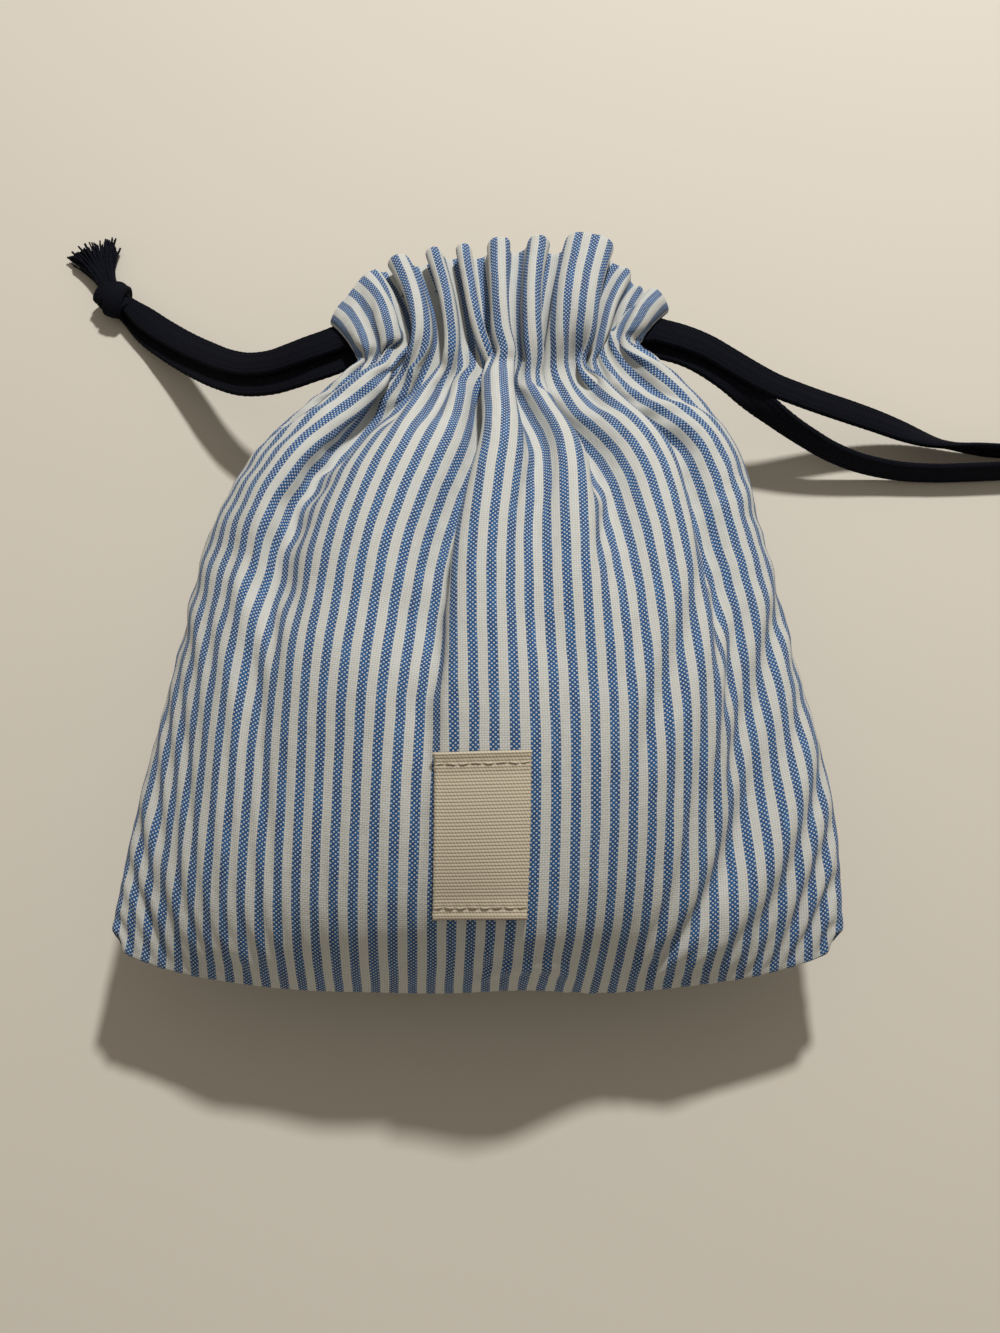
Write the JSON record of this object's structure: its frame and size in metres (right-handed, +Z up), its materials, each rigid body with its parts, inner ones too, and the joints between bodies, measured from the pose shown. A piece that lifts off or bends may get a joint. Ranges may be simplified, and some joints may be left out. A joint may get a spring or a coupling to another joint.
{
  "type": "drawstring pouch",
  "caption": "Filled striped cotton pouch lying on its back, its gathered neck drawn shut by flat braided cords, with a plain woven label on its front.",
  "frame": {"origin": "bottom centre of the cloth bag's box, on the surface that it lies on", "axes": "+Z up from the surface, +Y from the hem to the gathered neck, +X to the right as seen from the hem"},
  "size_m": [0.3353, 0.2339, 0.0699],
  "materials": {
    "striped_cloth": "blue and cream striped oxford weave cotton, matt",
    "label_tape": "cream ribbed woven tape, matt",
    "thread": "cream sewing thread",
    "cord": "near-black navy flat braided cotton, matt"
  },
  "bodies": {
    "root": {"pouch_body": "striped_cloth", "label": "label_tape", "label_stitches_lower": "thread", "label_stitches_upper": "thread", "left_strand_upper": "cord", "left_strand_lower": "cord", "left_knot": "cord", "left_tail": "cord", "right_strand_upper": "cord", "right_strand_lower": "cord", "right_knot": "cord", "right_tail": "cord"}
  },
  "joints": []
}
